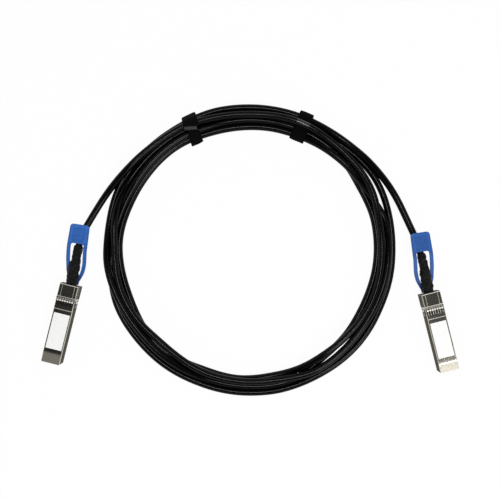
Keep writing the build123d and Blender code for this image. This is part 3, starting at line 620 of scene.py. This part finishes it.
# Every station of the coil in order, its angle counted on from turn to turn.
STATIONS = [
    (angle - 360 * turn, radius, height)
    for turn, stations in enumerate(TURNS)
    for angle, radius, height in stations
]


def slope_at(k, part):
    """How steeply a station's radius or height changes with the angle, from its neighbours."""
    before, after = STATIONS[max(k - 1, 0)], STATIONS[min(k + 1, len(STATIONS) - 1)]
    return (after[part] - before[part]) / (after[0] - before[0])


def turn_lay(angle):
    """Radius and height of the cable's middle at an angle that falls by 360 each turn."""
    k = max(i for i in range(len(STATIONS) - 1) if STATIONS[i][0] >= min(angle, STATIONS[0][0]))
    start, end = STATIONS[k], STATIONS[k + 1]
    span = end[0] - start[0]
    share = (angle - start[0]) / span
    lay = []
    for part in (1, 2):
        leaving, arriving = (slope_at(i, part) * span for i in (k, k + 1))
        lay.append(
            start[part] * (1 + 2 * share) * (1 - share) ** 2 + leaving * share * (1 - share) ** 2
            + end[part] * share**2 * (3 - 2 * share) + arriving * share**2 * (share - 1)
        )
    return lay


def coil_place(angle, radius, height):
    """A place around the coil in mm, on its gentle slope."""
    across, back = radius * cos(radians(angle)), radius * sin(radians(angle))
    return Vector((COIL_CENTRE[0] + across, COIL_CENTRE[1] + back, height + COIL_LIFT + COIL_SLOPE * back))


def cable_route():
    """Every point of the cable in mm: left tail, coil, right tail."""
    points = [Vector(p) for p in LEFT_TAIL]
    for angle in range(STATIONS[0][0], STATIONS[-1][0] - 1, -COIL_STEP):
        radius, height = turn_lay(angle)
        points.append(coil_place(angle, radius / CURVE_SHARE, height))
    return points + [Vector(p) for p in RIGHT_TAIL]


def place_piece(name, data):
    """Puts new data into the scene as a piece."""
    piece = bpy.data.objects.new(name, data)
    bpy.context.scene.collection.objects.link(piece)
    return piece


def cable():
    """The whole cable as one curve, and the points along its middle."""
    curve = bpy.data.curves.new("cable", "CURVE")
    curve.dimensions = "3D"
    curve.resolution_u = 8
    route = cable_route()
    spline = curve.splines.new("NURBS")
    spline.points.add(len(route) - 1)
    for point, place in zip(spline.points, route):
        point.co = (*(place * MM), 1.0)
    spline.order_u = 3
    spline.use_endpoint_u = True
    piece = place_piece("cable", curve)
    middle = bpy.data.meshes.new_from_object(piece)
    line = [v.co.copy() for v in middle.vertices]
    bpy.data.meshes.remove(middle)
    curve.bevel_depth = CABLE_RADIUS * CABLE_FACETS
    curve.bevel_resolution = 6
    curve.use_fill_caps = True
    curve.materials.append(jacket_black())
    return piece, line


def point_along(line, along, rear, distance):
    """Where the cable's middle passes a distance from a plug's rear face, and its direction there."""
    for start, end in zip(line, line[1:]):
        low, high = ((p - rear).dot(along) for p in (start, end))
        if low <= distance <= high:
            return start.lerp(end, (distance - low) / (high - low)), (end - start).normalized()
    raise ValueError("the cable doesn't reach that distance")


def stage_at(distance):
    """Half width, half height and sideways shift of the sleeve at a distance from the rear face."""
    for low, high in zip(RELIEF_STAGES, RELIEF_STAGES[1:]):
        if distance <= high[0]:
            share = smooth(distance, low[0], high[0])
            return [between(a, b, share) for a, b in zip(low[1:], high[1:])]
    return RELIEF_STAGES[-1][1:]


def rings_to_mesh(name, rings, finish, closed=False):
    """Skins a row of equal rings into a tube, its ends joined or capped."""
    mesh = bmesh.new()
    rows = [[mesh.verts.new(p) for p in ring] for ring in rings]
    for row, following in zip(rows, rows[1:] + rows[:1] if closed else rows[1:]):
        for k in range(len(row)):
            after = (k + 1) % len(row)
            mesh.faces.new((row[k], row[after], following[after], following[k])).smooth = True
    if not closed:
        mesh.faces.new(rows[0])
        mesh.faces.new(reversed(rows[-1]))
    bmesh.ops.recalc_face_normals(mesh, faces=mesh.faces)
    data = bpy.data.meshes.new(name)
    mesh.to_mesh(data)
    mesh.free()
    data.materials.append(finish)
    return place_piece(name, data)


def sleeve(side, line, finish):
    """The lumpy sleeve that grips the cable behind a plug."""
    rear = Vector((*PLUG_REAR[side], 0)) * MM
    along = plug_axes(side)[1]
    first, last = RELIEF_STAGES[0][0], RELIEF_STAGES[-1][0]
    rings = []
    for k in range(RELIEF_RINGS + 1):
        distance = between(first, last, k / RELIEF_RINGS)
        middle, direction = point_along(line, along, rear, max(distance, FOLLOW_START) * MM)
        middle += direction * (min(distance - FOLLOW_START, 0) * MM)
        half_width, half_height, shift = stage_at(distance)
        right = direction.cross(UP).normalized()
        ring = []
        for s in range(RELIEF_SIDES):
            turn = 2 * pi * s / RELIEF_SIDES
            around = (LUMP_AROUND * cos(turn), LUMP_AROUND * sin(turn))
            seed = Vector((*around, distance * LUMP_ALONG + LUMP_SEED[side]))
            lump = LUMP_DEPTH * noise.noise(seed) + FINE_LUMP_DEPTH * noise.noise(seed * FINE_LUMPS)
            swell = 1 + lump * smooth(distance, 0.5, 4)
            outward = right * (cos(turn) * half_width) + UP * (sin(turn) * half_height)
            ring.append(middle + (outward * swell + right * shift) * MM)
        rings.append(ring)
    return rings_to_mesh(side + "_sleeve", rings, finish)


def hull(points):
    """The convex outline around flat points, anticlockwise."""
    points = sorted(set(points))

    def half(run):
        kept = []
        for x, y in run:
            while len(kept) > 1:
                (ax, ay), (bx, by) = kept[-2:]
                if (bx - ax) * (y - ay) - (by - ay) * (x - ax) > 0:
                    break
                kept.pop()
            kept.append((x, y))
        return kept[:-1]

    return half(points) + half(points[::-1])


def even_loop(outline, count):
    """The closed outline again as equally spaced points."""
    closed = outline + outline[:1]
    lengths = [hypot(b[0] - a[0], b[1] - a[1]) for a, b in zip(closed, closed[1:])]
    spacing = sum(lengths) / count
    points, passed, target = [], 0.0, 0.0
    for (a, b), length in zip(zip(closed, closed[1:]), lengths):
        while target < passed + length and len(points) < count:
            share = (target - passed) / length
            points.append((between(a[0], b[0], share), between(a[1], b[1], share)))
            target += spacing
        passed += length
    return points


def bundle_outline(tie, grow):
    """The outline of the turns that a strap holds, grown outwards, as (radius, height) in mm."""
    around = []
    for turn in range(tie.on_top, len(TURNS)):
        radius, height = turn_lay(tie.angle - 360 * turn)
        for k in range(TURN_SIDES):
            side = 2 * pi * k / TURN_SIDES
            reach = CABLE_RADIUS / MM + grow
            around.append((radius + reach * cos(side), height + reach * sin(side)))
    return hull(around)


def band(name, tie, path, widths, thickness, finish, closed):
    """A woven band of that thickness along a path of (radius, height), with soft edges."""
    sideways = strap_axes(tie)[1]
    columns = [2 * c / (STRAP_COLUMNS - 1) - 1 for c in range(STRAP_COLUMNS)]
    rings = []
    for k, (radius, height) in enumerate(path):
        before = path[k - 1] if closed or k else path[0]
        after = path[(k + 1) % len(path)] if closed or k < len(path) - 1 else path[-1]
        run = hypot(after[0] - before[0], after[1] - before[1])
        out_radius, out_height = (after[1] - before[1]) / run, -(after[0] - before[0]) / run
        aside = tie.skew * (STRAP_WAIST_RADIUS - radius) / SKEW_SPAN
        ring = []
        for layer in (1, -1):
            for across in columns[::layer]:
                out = thickness / 2 * (1 - EDGE_THINNING * abs(across) ** 6) * layer
                if layer > 0:
                    out += RIPPLE * noise.noise(Vector((radius * 0.5, height * 0.5, across * 2 + tie.angle)))
                place = coil_place(tie.angle, radius + out_radius * out, height + out_height * out)
                ring.append((place + sideways * (across * widths[k] / 2 + aside)) * MM)
        rings.append(ring)
    return rings_to_mesh(name, rings, finish, closed)


def strap(name, finish):
    """A woven strap drawn tight around the bundle: wide outside, pinched on top, narrower inside."""
    tie = STRAPS[name]
    path = even_loop(bundle_outline(tie, STRAP_GAP + STRAP_THICKNESS / 2), STRAP_ROWS)
    path = [(radius - tie.slack * (1 - smooth(radius, *SLACK_RADII)), height) for radius, height in path]
    widths = []
    for radius, height in path:
        outside = smooth(radius, *WIDENING_RADII)
        pinch = (1 - smooth(abs(radius - STRAP_WAIST_RADIUS), *PINCH_REACH)) * smooth(height, *PINCH_HEIGHTS)
        widths.append(between(between(tie.inner_width, tie.outer_width, outside), tie.waist_width, pinch))
    return band(name + "_strap", tie, path, widths, STRAP_THICKNESS, finish, True)


def strap_lap(name, finish):
    """The strap's free end, lapped over its outer half and down the outside."""
    tie = STRAPS[name]
    around = even_loop(bundle_outline(tie, STRAP_GAP + STRAP_THICKNESS + LAP_THICKNESS / 2), STRAP_ROWS)
    lowest = min(range(len(around)), key=lambda k: around[k][1])
    around = around[lowest:] + around[:lowest]
    path = [(radius, height) for radius, height in around if height > LAP_END_HEIGHT and radius > tie.lap_start]
    widths = [tie.outer_width - LAP_INSET + LAP_WAVER * sin(k / 3) for k in range(len(path))]
    return band(name + "_strap_lap", tie, path, widths, LAP_THICKNESS, finish, False)


def spring(side):
    """The return spring again, as a piece of its own in the same place."""
    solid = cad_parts[side + "_return_spring"]
    wire = place_piece(side + "_spring_coils", solid.data.copy())
    wire.matrix_world = solid.matrix_world.copy()
    along = plug_axes(side)[1]
    reach = [(solid.matrix_world @ corner.co).dot(along) for corner in solid.data.vertices]
    tuple(along * max(reach))
    tuple(along * min(reach))
    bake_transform(wire)
    return wire


def floor():
    """White floor that is seen as nearly even white and keeps a trace of the shadows."""
    mesh = bmesh.new()
    bmesh.ops.create_grid(mesh, x_segments=1, y_segments=1, size=FLOOR_REACH)
    data = bpy.data.meshes.new("floor")
    mesh.to_mesh(data)
    mesh.free()
    floor_piece = place_piece("floor", data)
    look = Look("floor_white", roughness=0.9, specular_ior_level=0.0)
    look.colour(look.mix(look.grain(400.0), (0.90, 0.90, 0.90), (0.92, 0.92, 0.92)))
    camera_ray, glossy_ray, passed_ray = (
        look.node("ShaderNodeLightPath", output=f"Is {kind} Ray") for kind in ("Camera", "Glossy", "Transmission")
    )
    seen = camera_ray.most(glossy_ray).most(passed_ray)
    glow = look.node("ShaderNodeEmission", None, {"Color": (1, 1, 1, 1), "Strength": 1.0})
    lit = Signal(look, look.shader.outputs[0])
    shown = look.node("ShaderNodeMixShader", None, {0: seen * FLOOR_GLOW, 1: lit, 2: glow})
    look.feed(look.tree.nodes["Material Output"].inputs["Surface"], shown)
    data.materials.append(look.material)


def sky():
    """A sky that is pale at the sides and dark overhead, and white to the camera."""
    world = bpy.data.worlds.new("studio")
    bpy.context.scene.world = world
    world.use_nodes = True
    nodes = Nodes(world.node_tree)
    height = nodes.node("ShaderNodeTexCoord", output="Generated").along(UP)
    tone = height.rises(*SKY_HEIGHTS, *SKY_LEVELS)
    background = nodes.tree.nodes["Background"]
    nodes.feed(background.inputs["Color"], (1, 1, 1, 1))
    camera_ray = nodes.node("ShaderNodeLightPath", output="Is Camera Ray")
    nodes.feed(background.inputs["Strength"], tone + camera_ray * (1 - tone))


def lamps():
    """Two soft square lamps that face the part, with their places and sizes in metres and their power in watts."""
    for name, place, size, power in (
        ("key_lamp", (0.56, -0.56, 0.98), 0.34, 5.5),
        ("top_lamp", (0.0, 0.06, 1.30), 0.22, 4.0),
    ):
        lamp = bpy.data.lights.new(name, "AREA")
        lamp.shape = "RECTANGLE"
        lamp.size = lamp.size_y = size
        lamp.energy = power
        piece = place_piece(name, lamp)
        piece.location = place
        piece.rotation_euler = Vector(place).to_track_quat("Z", "Y").to_euler()


def camera():
    lens = bpy.data.cameras.new("camera")
    lens.lens = CAMERA_LENS
    lens.clip_start = CAMERA_CLIP
    piece = place_piece("camera", lens)
    piece.location = CAMERA_PLACE
    bpy.context.scene.camera = piece
    bpy.context.scene.view_settings.view_transform = "Standard"


camera()
floor()
sky()
lamps()
sleeve_finishes = finish_plugs()

cord, middle_line = cable()
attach(cord, "cable")
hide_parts("left_tail", "right_tail", "cable_coil")

sleeves = {}
for side in PLUG_REAR:
    run = middle_line if side == "left" else middle_line[::-1]
    sleeves[side] = sleeve(side, run, sleeve_finishes[side])
    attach(sleeves[side], "cable")
    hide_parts(side + "_strain_relief")

for side in PLUG_REAR:
    wire = spring(side)
    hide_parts(side + "_return_spring")

for tie in STRAPS:
    weave = strap_weave(tie)
    for piece in (strap(tie, weave), strap_lap(tie, weave)):
        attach(piece, "cable")
        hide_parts(tie)

left_rear = Vector((*PLUG_REAR["left"], 0)) * MM
exit_place, _ = point_along(middle_line, plug_axes("left")[1], left_rear, RELIEF_STAGES[-1][0] * MM)
